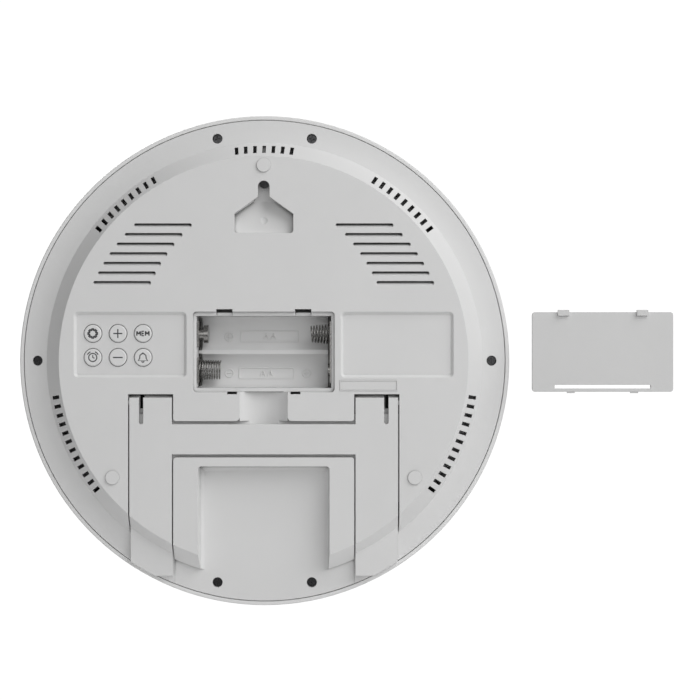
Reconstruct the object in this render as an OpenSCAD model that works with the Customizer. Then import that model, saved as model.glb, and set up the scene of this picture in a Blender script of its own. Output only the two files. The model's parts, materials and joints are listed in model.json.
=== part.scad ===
// Round digital clock for a wall or a table, built from its separate pieces.
//
// Every piece is drawn on the bench: the clock lies on its display, so x runs right
// and y runs up as seen from behind, and z rises out of the back. hung() then turns
// it upright, display towards -Y, with the wall nail's centre at the origin.

/* [Case] */
// Diameter over the front bezel
case_d = 225; // [220:1:275]
// Thickness from the front lip to the wall pads
case_t = 27.5; // [27.5:0.5:34]
// Wall of the plastic shells
wall = 2; // [1.8:0.1:2.4]
// Width of the bezel's edge, seen from behind
rim_w = 1.85; // [1.6:0.05:3]
// Gap between the bezel and the back cover
part_gap = 0.35; // [0.25:0.05:0.5]
// Height of the raised middle of the back over its outer ring
bevel_h = 7; // [6:0.5:8]
// Width of the sloping edge of the raised middle
bevel_w = 6.8; // [5.5:0.1:8]
// Width of the outer ring of the back
ring_w = 10.5; // [9.5:0.5:12]
// Height of the pads that touch the wall
pad_h = 0.8; // [0.5:0.1:1.2]
// Radius of the wall pads
pad_r = 3.1; // [2.5:0.1:4]

/* [Batteries] */
// Diameter of one cell
cell_d = 14.5; // [10.5:0.1:15]
// Length of the bay, with the contacts
bay_l = 61.4; // [56:0.2:64]
// Distance between the two cells' centres
cell_pitch = 16.4; // [15.6:0.1:17]
// Thickness of the battery cover
cover_t = 1.8; // [1.5:0.1:2.2]
// Gap between the battery cover and its seat
cover_gap = 0.2; // [0.15:0.05:0.4]
// How far the removed cover lies from its seat
cover_off = 153.9; // [150:0.1:185]

/* [Stand] */
// Thickness of the folding stand
stand_t = 3.5; // [3:0.1:4]
// Width of a leg
leg_w = 19.3; // [16:0.1:20]
// Distance between the middles of the legs
leg_span = 102.7; // [100:0.1:106]
// Height of the crossbar
bar_h = 13.7; // [10:0.1:15]
// How far the stand opens, in degrees
stand_open = 35; // [25:1:40]
// Gap at the sides of the legs
leg_gap = 0.6; // [0.4:0.05:0.7]
// Radius of the pivot pins
pin_r = 1.2; // [1:0.05:1.3]

/* [Keys] */
// Radius of a key cap
key_r = 3.95; // [3.2:0.05:4.2]
// Gap round a key cap
key_gap = 0.3; // [0.25:0.05:0.5]
// How far a key moves when it is pressed
key_travel = 0.8; // [0.5:0.1:1]

/* [Display] */
// Thickness of the clear lens
lens_t = 2; // [1.5:0.1:2.2]
// Width and height of the display glass
glass = [136, 108]; // [100:1:150]

/* [Hidden] */
$fn = 96;

// ---- the case's radii and heights ----
case_r = case_d / 2;
rim_r = case_r - rim_w;
cover_r = rim_r - part_gap;
bevel_r = cover_r - ring_w;
face_r = bevel_r - bevel_w;
face_z = case_t - pad_h;
foot_z = face_z - bevel_h;
ring_drop = 1.65;
ring_end_slope = 1.5;
rim_z = foot_z - ring_drop;
ring_half_turn = atan2(ring_drop, ring_w) - ring_end_slope;
ring_curve = norm([ring_w, ring_drop]) / (2 * sin(ring_half_turn));
ring_centre = [cover_r + ring_curve * sin(ring_end_slope), rim_z + ring_curve * cos(ring_end_slope)];
// Height of the dished ring at radius r.
function ring_at(r) = ring_centre[1] - sqrt(ring_curve * ring_curve - pow(r - ring_centre[0], 2));
ring_mid = bevel_r + ring_w / 2;
skirt_h = 3.5;
skirt_w = 2;

// ---- screws that close the case ----
screw_angles = [0, 78, 102, 180, 258, 282];
screw_circle = case_r - 8.4;
screw_hole_r = 2.3;
screw_head_r = 2.05;
screw_head_h = 1.7;
screw_shank_r = 1.3;
screw_l = 9;
screw_seat_z = rim_z - 3.4;
pillar_r = screw_hole_r + 1.3;
pillar_floor = 1.6;
boss_r = 3.2;
thread_gap = 0.03;

// ---- vents: [middle angle, number of slots] ----
vent_groups = [[90, 7], [48.5, 9], [131.5, 9], [-23.75, 12], [203.75, 12]];
vent_pitch = 2.5;
vent_size = [3.7, 1.65];
louver_n = 7;
louver_pitch = 4.36;
louver_top = 61.4;
louver_l = 26.6;
louver_h = 1.8;
louver_r = face_r - 7.8;
louver_lean = 40;
louver_back = 2;
louver_z = face_z - wall - louver_back;

// ---- keyhole for the wall nail ----
hook_y = 79.2;
hook_r = 2.65;
hook_neck_y = hook_y - 4.7;
hook_shoulder = [13.4, hook_y - 12.4];
hook_foot_y = hook_y - 21.2;
hook_head_r = 4.8;
hook_lip_y = hook_y - 7.3;
hook_depth = 7.6;
hook_foot_depth = 3;
hook_wall = 1.5;
hook_hole_r = 2.6;
// [height on the clock, radius of the ball that makes it, depth]
hook_dimple = [hook_y - 14.4, 3, 0.4];

// ---- battery bay, seen from behind ----
bay_y = 4;
seat = [64.4, 36.6];
seat_r = 1.6;
bay_h = cell_d * 2 + 3.9;
bay_wall = 1.5;
cell_gap = 0.4;
lid_z = face_z - cover_t;
cell_r = cell_d / 2;
cell_z = lid_z - cell_gap - cell_r;
trough_r = cell_r + 0.65;
bay_floor_z = cell_z - trough_r;
ridge_h = 4.6;
contact_slot = 1.6;
row_y = [bay_y + cell_pitch / 2, bay_y - cell_pitch / 2];
contact_t = 0.4;
contact_x = bay_l / 2 - 0.3 - contact_t;
tag_z = cell_z - 5.85;
nub_r = 4.1;
nub_neck_r = 2.9;
nub_neck_l = 2.3;
nub_l = 4.2;
// Springs: [radius at the plate, radius at the tip, length, turns]
spring_straight = [4.3, 4.1, 9.4, 7];
spring_cone = [4.4, 3.6, 8.3, 6];
spring_sink = 0.41;
wire_r = 0.6;

// ---- battery cover ----
cover_size = seat - 2 * [cover_gap, cover_gap];
tab_x = 35.8;
tab_w = 5.1;
tab_out = 1;
tab_room = 0.15;
tab_t = 1.4;
tab_slot_w = 7.4;
latch_x = 28.8;
latch_w = 3.5;
latch_out = 0.6;
latch_slot_w = 4.5;
strip_h = 1.5;
strip_l = 43.6;
strip_gap = 1.65;
cover_pivot_z = face_z - cover_t / 2;

// ---- shallow panels beside the bay ----
panel_in = 35;
panel_out = face_r - 6.8;
panel_y = [22.2, -7.6];
panel_deep = 1.4;
panel_draft = 1.2;
panel_floor_z = face_z - panel_deep;
panel_mid = (panel_in + panel_out) / 2;
panel_size = [panel_out - panel_in, panel_y[0] - panel_y[1]];

// ---- keys ----
key_pitch = [11.4, 10.9];
key_first = [-panel_out + 8.5, 12.4];
key_proud = 0.6;
key_flange_r = 5;
key_flange_t = 1;
key_flange_gap = 0.25;
key_stem_r = 1.6;
switch_h = 4.3;
switch_size = 6;
switch_gap = key_travel + 0.05;
key_board_t = 1.2;
key_board_z = 13.4;
key_board_size = [44, 27];
key_board_mid = [key_first[0] + key_pitch[0] * 1.05, key_first[1] - key_pitch[1] / 2];
key_post = [18.6, 10.8];

// ---- stand ----
stand_under = 0.3;
stand_floor_z = face_z - stand_t - stand_under;
leg_top_y = -16.7;
leg_top_gap = 1.5;
leg_end_y = -(case_r - 14.2);
leg_end_r = cover_r - 0.1;
leg_bevel = 4.3;
leg_low_z = face_z - leg_bevel * bevel_h / bevel_w;
bar_top_y = -28.8;
bar_gap = 1.4;
pivot_y = leg_top_y - 2.3;
pivot_z = face_z - 2.2;
heel_l = leg_top_y - pivot_y;
stop_d = 2.9;
stop_gap = 0.06;
heel_d = (stop_d - heel_l * sin(stand_open)) / cos(stand_open);
pin_l = 1.9;
pin_gap = 0.07;
slit_w = 2;
tongue_w = 4.3;
well_l = 5.2;
step_r = face_r - 4;
step_w = 3;
step_dip = 0.15;
stand_z = stand_floor_z + stand_under;
slope_gap = 0.3;
tip_gap = 0.15;
leg_in = leg_span / 2 - leg_w / 2;
leg_out = leg_span / 2 + leg_w / 2;

// ---- finger notch, island and scoop ----
notch_w = 21.8;
notch_curve = 13.5;
notch_under = 3;
island_w = 2 * (leg_in - leg_gap);
island_top_y = bar_top_y - bar_h - bar_gap;
scoop_w = 59.8;
scoop_top_y = island_top_y - 4.1;
scoop_draft = 0.7;
scoop_corner = 1.8;
scoop_fillet = 2.2;
flat_top_y = -bevel_r + 15;
flat_z = rim_z - 0.25;

// ---- front: lens, mask, display ----
lip_t = 1.8;
lip_r = case_r - 17.5;
lens_r = lip_r + 3.2;
lens_gap = 0.15;
tape_t = 0.15;
mask_t = 0.5;
mask_z = lip_t + tape_t + lens_t;
window = glass - [10, 18];
glass_t = 1.1;
glass_z = mask_z + mask_t;
glass_gap = 0.2;
ledge_h = 6;
reflector_t = 0.2;
reflector_z = glass_z + 2 * glass_t;
holder_w = 4;
holder_t = 0.6;
holder_top = reflector_z + reflector_t + holder_t;
ear_up = atan2(glass[1] / 2 + holder_w, glass[0] / 2 + holder_w);
ear_a = [ear_up, 180 - ear_up, 180 + ear_up, -ear_up];
ear_circle = lens_r + 4.6;
ear_l = ear_circle - norm([glass[0] / 2 + holder_w, glass[1] / 2 + holder_w]) + 7;
ear_r = 3;
ear_z = 6.4;

// ---- boards ----
board_z = 10.2;
board_t = 1.6;
board_size = [124, 30];
board_y = glass[1] / 2 - 11;
board_screw = [board_size[0] / 2 - 4, board_size[1] / 2 - 3];
small_screw_r = 0.9;
small_head_r = 1.9;
small_head_h = 1.1;

// ---- buzzer and sensor ----
buzzer_pos = [60, 47];
buzzer_r = 14.5;
buzzer_h = 5;
piezo_r = 13.4;
sensor_pos = [77, -34];
sensor_z = 16;
sensor_size = [9, 15];

// A rectangle of size s about the origin, with corners rounded to r.
module rounded(s, r) {
    square([s[0] - 2 * r, s[1]], center = true);
    square([s[0], s[1] - 2 * r], center = true);
    for (x = [-1, 1]) for (y = [-1, 1]) translate([x * (s[0] / 2 - r), y * (s[1] / 2 - r)]) circle(r = r);
}

// The same, leaning outwards by lean over height h.
module leaning(s, r, h, lean) {
    half = s / 2;
    rotate([90, 0, 0]) translate([0, 0, r - half[1]]) linear_extrude(height = s[1] - 2 * r)
        polygon([[-half[0], 0], [half[0], 0], [half[0] + lean, h], [-half[0] - lean, h]]);
    rotate([90, 0, 90]) translate([0, 0, r - half[0]]) linear_extrude(height = s[0] - 2 * r)
        polygon([[-half[1], 0], [half[1], 0], [half[1] + lean, h], [-half[1] - lean, h]]);
    for (x = [-1, 1]) for (y = [-1, 1]) translate([x * (half[0] - r), y * (half[1] - r), 0])
        cylinder(r1 = r, r2 = r + lean, h = h);
}

// From the bench to the wall: upright, display towards -Y, nail at the origin.
module hung() { rotate([90, 0, 180]) translate([0, -hook_y, -case_t]) children(); }
module both_sides() { for (m = [0, 1]) mirror([m, 0, 0]) children(); }
module turned(points) { rotate_extrude() polygon(points); }
module block(x, y, z) { translate([x[0], y[0], z[0]]) cube([x[1] - x[0], y[1] - y[0], z[1] - z[0]]); }
module along_x(r, x0, x1, y, z) { translate([x0, y, z]) rotate([0, 90, 0]) cylinder(r = r, h = x1 - x0); }

// ---- back cover ----
module shell() {
    inner = wall * 0.4;
    rotate_extrude() difference() {
        polygon([[0, face_z], [face_r, face_z], [bevel_r, foot_z], [cover_r, rim_z], [cover_r, rim_z - skirt_h],
            [cover_r - skirt_w, rim_z - skirt_h], [cover_r - skirt_w, rim_z - wall],
            [ring_mid, ring_at(ring_mid) - wall], [bevel_r - inner, foot_z - wall],
            [face_r - inner, face_z - wall], [0, face_z - wall]]);
        intersection() {
            translate(ring_centre) circle(r = ring_curve);
            translate([bevel_r, rim_z - 1]) square([ring_w + 1, ring_drop + 2]);
        }
    }
}

module screw_places() { for (a = screw_angles) rotate([0, 0, a]) translate([screw_circle, 0, 0]) children(); }

module pads() {
    lower = [face_r - 24.4, -(face_r - 40)];
    for (p = [[0, face_r - 4.2], lower, [-lower[0], lower[1]]])
        translate([p[0], p[1], face_z - 0.5]) cylinder(r = pad_r, h = 0.5 + pad_h);
}

module vents() {
    mid = (face_r + bevel_r) / 2;
    for (g = vent_groups)
        for (i = [0:g[1] - 1])
            rotate([0, 0, g[0] + (i - (g[1] - 1) / 2) * vent_pitch])
                translate([mid - vent_size[0] / 2, -vent_size[1] / 2, foot_z - 3])
                    cube([vent_size[0], vent_size[1], bevel_h + 6]);
}

// Ends of the louver at height y: its two end centres along x.
function louver_ends(y) = let (end = sqrt(louver_r * louver_r - y * y) - louver_h / 2)
    [end - louver_l + louver_h, end];

// Slots that lean upwards as they go in, so that they hide what is behind them.
module louvers() {
    deep = (face_z - louver_z) / cos(louver_lean) + 4;
    both_sides() for (i = [0:louver_n - 1]) {
        y = louver_top - i * louver_pitch;
        ends = louver_ends(y);
        translate([0, y, face_z]) rotate([louver_lean, 0, 0]) {
            thin = louver_h * cos(louver_lean);
            translate([ends[0], -thin / 2, -deep]) cube([ends[1] - ends[0], thin, deep + 3]);
            for (x = ends) translate([x, 0, -deep]) cylinder(r = thin / 2, h = deep + 3);
        }
    }
}

// Thicker skin behind the louvers.
module louver_pan() {
    low_y = louver_top - (louver_n - 1) * louver_pitch;
    ends = [louver_ends(louver_top), louver_ends(low_y)];
    both_sides() translate([0, 0, louver_z]) linear_extrude(height = louver_back + 0.5)
        polygon([[ends[0][0] - 3, louver_top + 6.5], [ends[0][1] + 2, louver_top + 6.5], [ends[1][1] + 2, low_y],
            [ends[1][1] + 2, low_y - 3], [ends[1][0] - 3, low_y - 3]]);
}

// A rectangular recess whose walls lean out towards the face.
module panel_recess(x) {
    over = 0.5;
    translate([x, (panel_y[0] + panel_y[1]) / 2, panel_floor_z])
        leaning(panel_size - 2 * [panel_draft, panel_draft], 0.8, panel_deep + over,
            panel_draft * (panel_deep + over) / panel_deep);
}

module panel_pan(x) {
    size = panel_size + [3, 3];
    translate([x - size[0] / 2, (panel_y[0] + panel_y[1]) / 2 - size[1] / 2, panel_floor_z - wall])
        cube([size[0], size[1], panel_deep + wall - 0.5]);
}

// Outline of the keyhole in the skin.
module keyhole_outline() {
    low = hook_foot_y + 1.4;
    translate([0, hook_y]) circle(r = hook_r);
    translate([-hook_r, hook_neck_y]) square([2 * hook_r, hook_y - hook_neck_y]);
    polygon([[-hook_r, hook_neck_y + 0.01], [-hook_shoulder[0], hook_shoulder[1]], [-hook_shoulder[0], low],
        [hook_shoulder[0], low], [hook_shoulder[0], hook_shoulder[1]], [hook_r, hook_neck_y + 0.01]]);
    for (x = [-1, 1]) translate([x * (hook_shoulder[0] - 1.4), low]) circle(r = 1.4);
    translate([-hook_shoulder[0] + 1.4, hook_foot_y]) square([2 * hook_shoulder[0] - 2.8, 1.5]);
}

// The room behind the skin: as the outline below, and wide enough for the nail's head above.
module keyhole_room(grow) {
    neck = hook_head_r + grow;
    wide = hook_shoulder[0] + grow;
    translate([0, hook_y + 1]) circle(r = neck);
    translate([-neck, hook_lip_y - grow]) square([2 * neck, hook_y + 1 - hook_lip_y + grow]);
    polygon([[-hook_r - grow, hook_neck_y + 0.01], [-wide, hook_shoulder[1]], [-wide, hook_foot_y - grow],
        [wide, hook_foot_y - grow], [wide, hook_shoulder[1]], [hook_r + grow, hook_neck_y + 0.01]]);
}

module keyhole_cut() {
    under = face_z - wall;
    floor_z = face_z - hook_depth;
    ramp_top = hook_shoulder[1] + 6;
    foot_top = face_z - hook_foot_depth;
    ramp = (foot_top - floor_z) / (ramp_top - hook_foot_y);
    translate([0, 0, under - 1]) linear_extrude(height = wall + 2) keyhole_outline();
    // open to the inside behind the slot's upper end
    translate([0, hook_y + 2.4, floor_z - hook_wall - 1]) cylinder(r = hook_hole_r, h = hook_depth);
    // a shallow round dimple in the middle of the ramp
    translate([0, hook_dimple[0], foot_top - ramp * (hook_dimple[0] - hook_foot_y) + hook_dimple[1] - hook_dimple[2]])
        sphere(r = hook_dimple[1]);
    intersection() {
        translate([0, 0, floor_z]) linear_extrude(height = under - floor_z) keyhole_room(0);
        rotate([90, 0, 90]) translate([0, 0, -20]) linear_extrude(height = 40)
            polygon([[hook_foot_y - 1, under + 1], [hook_foot_y - 1, foot_top + ramp],
                [ramp_top, floor_z], [hook_y + 12, floor_z], [hook_y + 12, under + 1]]);
    }
}

module keyhole_box() {
    translate([0, 0, face_z - hook_depth - hook_wall])
        linear_extrude(height = hook_depth + hook_wall - 0.5) keyhole_room(hook_wall);
}

module bay_box() {
    size = [bay_l, bay_h] + 2 * [bay_wall, bay_wall];
    translate([-size[0] / 2, bay_y - size[1] / 2, bay_floor_z - bay_wall])
        cube([size[0], size[1], face_z - 0.5 - bay_floor_z + bay_wall]);
    block([-seat[0] / 2 - 1.4, seat[0] / 2 + 1.4], [bay_y - seat[1] / 2 - 1.2, bay_y + seat[1] / 2 + 3.4],
        [lid_z - 2.6, face_z - 0.5]);
}

module bay_cut() {
    translate([0, bay_y, lid_z]) linear_extrude(height = cover_t + 1) rounded(seat, seat_r);
    block([-bay_l / 2, bay_l / 2], [bay_y - bay_h / 2, bay_y + bay_h / 2], [cell_z, lid_z + 0.5]);
    block([-bay_l / 2, bay_l / 2], [row_y[1], row_y[0]], [bay_floor_z + ridge_h, cell_z + 0.5]);
    inner = bay_l / 2 - contact_slot;
    for (y = row_y) along_x(trough_r, -inner, inner, y, cell_z);
    // slots that the contacts slide down: one for each cell on the left, one across both on the right
    low = bay_floor_z - bay_wall - 1;
    for (y = row_y)
        block([-bay_l / 2, -inner], [y - cell_pitch / 2 + 0.7, y + cell_pitch / 2 - 0.7], [low, cell_z + 1]);
    block([inner, bay_l / 2], [bay_y - bay_h / 2, bay_y + bay_h / 2], [low, cell_z + 1]);
    // holes for the tags of the two contacts that take the leads
    for (y = row_y) block([-bay_l / 2 - 3, -bay_l / 2 + 0.1], [y - 1.8, y + 1.8], [tag_z - 0.7, tag_z + 1.1]);
    // slots for the cover's tabs and notches for its latch
    both_sides() {
        block([tab_x / 2 - tab_slot_w / 2, tab_x / 2 + tab_slot_w / 2],
            [bay_y + bay_h / 2 - 0.2, bay_y + seat[1] / 2 + tab_out + tab_room], [lid_z - tab_t - 0.2, face_z + 1]);
        // open to the inside beyond the bay's wall
        block([tab_x / 2 - tab_slot_w / 2, tab_x / 2 + tab_slot_w / 2],
            [bay_y + bay_h / 2 + bay_wall, bay_y + seat[1] / 2 + tab_out + tab_room], [lid_z - 6, face_z + 1]);
        block([latch_x / 2 - latch_slot_w / 2, latch_x / 2 + latch_slot_w / 2],
            [bay_y - seat[1] / 2 - latch_out - 0.3, bay_y - seat[1] / 2 + 0.25], [lid_z - 4, face_z + 1]);
    }
}

// Plan of the stand, grown by side, top and bar for its recess.
module stand_plan(side = 0, top = 0, bar = 0) {
    both_sides() translate([leg_in - side, leg_end_y]) square([leg_w + 2 * side, leg_top_y + top - leg_end_y]);
    translate([-leg_in - 1, bar_top_y - bar_h - bar]) square([2 * leg_in + 2, bar_h + 2 * bar]);
}

// What rounds a corner of the housing at p, whose material lies towards the signs in way.
module nick(p, way, r) {
    translate(p) scale([way[0], way[1]]) difference() {
        translate([-0.01, -0.01]) square(r + 0.01);
        translate([r, r]) circle(r = r);
    }
}

// Corners of the housing between the legs, rounded in plan.
module land_corners() {
    edge = leg_in - leg_gap;
    both_sides() {
        nick([edge, island_top_y], [-1, -1], 1.4);
        nick([edge, bar_top_y + bar_gap], [-1, 1], 1.2);
        nick([notch_w / 2, bar_top_y + bar_gap], [1, 1], 1.8);
    }
}

// Floor of the stand's recess, from the axis out to the bevel's foot.
stand_floor = [[0, stand_floor_z], [step_r, stand_floor_z], [step_r + step_w, foot_z - step_dip],
    [bevel_r + 1.5, foot_z - step_dip]];

module stand_recess() {
    intersection() {
        translate([0, 0, foot_z - 3]) linear_extrude(height = bevel_h + 6) {
            stand_plan(leg_gap, leg_top_gap, bar_gap);
            land_corners();
        }
        turned(concat(stand_floor, [[bevel_r + 1.5, face_z + 2], [0, face_z + 2]]));
    }
    // well under each heel, and the pivot's bore
    both_sides() {
        block([leg_in - leg_gap, leg_out + leg_gap], [pivot_y - well_l, leg_top_y + leg_top_gap],
            [pivot_z - stop_d - stop_gap, face_z - 1]);
        along_x(pin_r + pin_gap, leg_out + leg_gap - 0.2, leg_out + leg_gap + pin_l, pivot_y, pivot_z);
        // openings to the inside under the top gap and the slit
        block([leg_in - leg_gap, leg_out + leg_gap], [leg_top_y + leg_top_gap - 0.7, leg_top_y + leg_top_gap],
            [pivot_z - stop_d - 6, face_z]);
        block([leg_out - tongue_w - slit_w, leg_out - tongue_w], [pivot_y - 2.8, leg_top_y + leg_top_gap],
            [pivot_z - stop_d - 6, face_z]);
    }
}

// Material under the recess, kept inside the outer surface.
module stand_pan() {
    skin = 1.8;
    intersection() {
        translate([0, 0, foot_z - 3]) linear_extrude(height = bevel_h + 6)
            stand_plan(leg_gap + skin, leg_top_gap + skin, bar_gap + skin);
        turned([[0, stand_floor_z - skin], [step_r - 1, stand_floor_z - skin],
            [step_r + step_w - 1, foot_z - step_dip - skin], [bevel_r, foot_z - step_dip - skin],
            [bevel_r, foot_z - 0.5], [face_r - 0.3, face_z - 0.6], [0, face_z - 0.6]]);
    }
    both_sides() {
        block([leg_in - leg_gap - skin, leg_out + leg_gap + pin_l + 1],
            [pivot_y - well_l - skin, leg_top_y + leg_top_gap + skin],
            [pivot_z - stop_d - stop_gap - skin, face_z - 0.6]);
    }
}

module notch_cut() {
    up = sqrt(notch_curve * notch_curve - notch_w * notch_w / 4);
    top = bay_y - bay_h / 2 - bay_wall;
    intersection() {
        translate([0, bar_top_y - notch_under, face_z + up]) rotate([-90, 0, 0])
            cylinder(r = notch_curve, h = top - bar_top_y + notch_under, $fn = 128);
        block([-notch_w, notch_w], [bar_top_y - notch_under - 1, top + 1], [face_z - 9, face_z + 2]);
    }
}

module notch_pan() {
    up = sqrt(notch_curve * notch_curve - notch_w * notch_w / 4);
    skin = 1.6;
    low = bar_top_y - notch_under - skin;
    top = bay_y - bay_h / 2 - 0.4;
    intersection() {
        translate([0, low, face_z + up]) rotate([-90, 0, 0])
            cylinder(r = notch_curve + skin, h = top - low, $fn = 128);
        block([-notch_w, notch_w], [low - 1, top + 1], [face_z - 9, face_z - 0.6]);
    }
}

// The scoop between the legs: flat at the rim's level, with leaning walls and a curved foot to them.
module scoop_cut() {
    far = cover_r + 2;
    high = face_z + 1;
    r = scoop_fillet;
    lean = scoop_draft / (face_z - flat_z);
    half = scoop_w / 2;
    side = [[-half - lean, high], [-half + scoop_draft, flat_z], [half - scoop_draft, flat_z], [half + lean, high]];
    intersection() {
        rotate([90, 0, 0]) linear_extrude(height = far)
                difference() {
                    polygon(side);
                    // concave corners, left where the floor turns up into the sides
                    for (s = [-1, 1]) difference() {
                        translate([s > 0 ? half - scoop_draft - r * 0.8 : -half + scoop_draft - 3, flat_z - 1])
                            square([r * 0.8 + 3, r + 1]);
                        translate([s * (half - scoop_draft - r * 0.8 - 0.3), flat_z + r]) circle(r = r);
                        translate([s > 0 ? 0 : -half, flat_z + r]) square([half, 20]);
                    }
                }
        rotate([90, 0, 90]) translate([0, 0, -half - 3]) linear_extrude(height = 2 * half + 6)
            difference() {
                polygon([[-far - 1, flat_z - 1], [-far - 1, high], [scoop_top_y + lean, high],
                    [scoop_top_y - scoop_draft, flat_z - 1]]);
                difference() {
                    translate([scoop_top_y - scoop_draft - r, flat_z - 2]) square([r + 4, r + 2]);
                    translate([scoop_top_y - scoop_draft - r - 0.2, flat_z + r]) circle(r = r);
                }
            }
        translate([0, scoop_top_y + lean - far, flat_z - 2]) linear_extrude(height = bevel_h + 8)
            rounded(2 * [half + lean, far], scoop_corner);
    }
}

module scoop_pan() {
    skin = 1.8;
    intersection() {
        block([-scoop_w / 2 - skin, scoop_w / 2 + skin], [-cover_r, scoop_top_y + skin + 1],
            [flat_z - skin, face_z - 0.6]);
        turned([[0, flat_z - skin], [cover_r - 1, flat_z - skin], [cover_r - 1, flat_z - 0.2], [bevel_r, foot_z - 0.5],
            [face_r - 0.3, face_z - 0.6], [0, face_z - 0.6]]);
    }
}

// The ring is flat between the legs, level with the scoop.
module ring_flat() {
    intersection() {
        block([-island_w / 2 - 0.2, island_w / 2 + 0.2], [-cover_r - 1, flat_top_y], [flat_z, face_z]);
        turned([[bevel_r - 0.001, flat_z - 1], [bevel_r, foot_z + 1], [cover_r + 1, foot_z + 1],
            [cover_r + 1, flat_z - 1]]);
    }
}

module label_frame() {
    size = [26.2, 4.9];
    translate([panel_in + size[0] / 2 - 0.4, panel_y[1] - 1.1 - size[1] / 2, face_z - 0.3])
        linear_extrude(height = 0.55) difference() {
            square(size, center = true);
            square(size - [0.9, 0.9], center = true);
        }
}

module key_at(col, row) {
    translate([key_first[0] + col * key_pitch[0], key_first[1] - row * key_pitch[1], 0]) children();
}
module key_places() { for (row = [0, 1]) for (col = [0:2]) key_at(col, row) children(); }
module key_post_places() {
    for (x = [-1, 1]) for (y = [-1, 1])
        translate([key_board_mid[0] + x * key_post[0], key_board_mid[1] + y * key_post[1], 0]) children();
}

module key_posts() {
    low = key_board_z + key_board_t;
    key_post_places() translate([0, 0, low]) cylinder(r = 2, h = panel_floor_z - wall + 0.5 - low);
}

// Posts that carry the climate sensor behind the side vents.
module sensor_posts() {
    for (y = [-5.5, 5.5]) translate([sensor_pos[0], sensor_pos[1] + y, sensor_z + 1])
        cylinder(r = 1.6, h = face_z - wall + 0.5 - sensor_z - 1);
}

module back_cover() {
    color("gainsboro") union() {
        difference() {
            union() {
                shell();
                pads();
                bay_box();
                keyhole_box();
                stand_pan();
                notch_pan();
                scoop_pan();
                both_sides() panel_pan(panel_mid);
                louver_pan();
                screw_places() translate([0, 0, screw_seat_z - pillar_floor])
                    cylinder(r = pillar_r, h = rim_z - 0.6 - screw_seat_z + pillar_floor);
                key_posts();
                sensor_posts();
                label_frame();
                // ring that holds the buzzer behind the louvers
                translate([buzzer_pos[0], buzzer_pos[1], louver_z - 2.5]) difference() {
                    cylinder(r = buzzer_r + 1.6, h = 3.8);
                    translate([0, 0, -1]) cylinder(r = buzzer_r + 0.2, h = 3.5);
                }
            }
            bay_cut();
            keyhole_cut();
            stand_recess();
            notch_cut();
            scoop_cut();
            ring_flat();
            vents();
            louvers();
            for (s = [-1, 1]) panel_recess(s * panel_mid);
            key_places() translate([0, 0, panel_floor_z - wall - 1]) cylinder(r = key_r + key_gap, h = wall + 2);
            key_post_places() translate([0, 0, key_board_z + key_board_t - 1])
                cylinder(r = small_screw_r + thread_gap, h = 5);
            screw_places() {
                translate([0, 0, screw_seat_z]) cylinder(r = screw_hole_r, h = 8);
                translate([0, 0, screw_seat_z - pillar_floor - 1]) cylinder(r = screw_shank_r + 0.3, h = 4);
            }
        }
        // rib behind the middle vent at the top
        block([-0.75, 0.75], [face_r - 1.5, bevel_r - 0.6], [foot_z - 1.2, foot_z - 0.2]);
    }
}

// ---- front ----
module bezel_profile() {
    corner = 4;
    top = rim_z - 0.4;
    // front lip, sloping in towards the lens
    polygon([[lip_r, lip_t], [lip_r, lip_t - 0.8], [lip_r + 2.2, 0], [case_r - corner, 0], [case_r - corner, lip_t]]);
    intersection() {
        difference() {
            translate([case_r - corner, corner]) circle(r = corner);
            translate([case_r - corner, corner]) circle(r = corner - lip_t);
        }
        translate([case_r - corner - 0.01, -1]) square([corner + 1, corner + 1.01]);
    }
    translate([rim_r, corner]) square([rim_w - 0.35, top - corner]);
    translate([rim_r, corner]) square([rim_w, top - corner - 0.8]);
    translate([rim_r + rim_w - 0.8, top - 0.8]) intersection() {
        circle(r = 0.8);
        square(1);
    }
    // shelf that the back cover's skirt meets
    translate([cover_r - 1, rim_z - skirt_h - 2.2]) square([rim_r - cover_r + 1.5, 2.1]);
    // ring round the lens
    translate([lens_r + lens_gap, lip_t - 0.5]) square([1.4, lens_t + 0.5]);
}

module ear_places() { for (a = ear_a) rotate([0, 0, a]) translate([ear_circle, 0, 0]) children(); }

module front_bezel() {
    color("lightgray") difference() {
        union() {
            rotate_extrude() bezel_profile();
            screw_places() translate([0, 0, lip_t - 0.5])
                cylinder(r = boss_r, h = screw_seat_z - pillar_floor - 0.1 - lip_t + 0.5);
            ear_places() translate([0, 0, lip_t - 0.5]) cylinder(r = 2.4, h = ear_z - lip_t + 0.5);
        }
        screw_places() translate([0, 0, screw_seat_z - screw_l - 0.4])
            cylinder(r = screw_shank_r + thread_gap, h = screw_l);
        ear_places() translate([0, 0, 2.4]) cylinder(r = small_screw_r + thread_gap, h = 6);
    }
}

module lens() { color("azure") translate([0, 0, lip_t + tape_t]) cylinder(r = lens_r, h = lens_t); }

module lens_tape() {
    color("black") turned([[lip_r + 0.4, lip_t], [lens_r - 0.2, lip_t], [lens_r - 0.2, lip_t + tape_t],
        [lip_r + 0.4, lip_t + tape_t]]);
}

module display_mask() {
    color("silver") translate([0, 0, mask_z]) linear_extrude(height = mask_t) difference() {
        circle(r = lens_r - 0.3);
        rounded(window, 3);
    }
}

module lcd_panel() {
    color("darkseagreen") {
        block([-glass[0] / 2, glass[0] / 2], [-glass[1] / 2, glass[1] / 2], [glass_z, glass_z + glass_t]);
        block([-glass[0] / 2, glass[0] / 2], [-glass[1] / 2, glass[1] / 2 - ledge_h],
            [glass_z + glass_t, glass_z + 2 * glass_t]);
    }
}

module lcd_reflector() {
    color("whitesmoke") block([1 - glass[0] / 2, glass[0] / 2 - 1], [1 - glass[1] / 2, glass[1] / 2 - ledge_h - 1],
        [reflector_z, reflector_z + reflector_t]);
}

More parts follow.
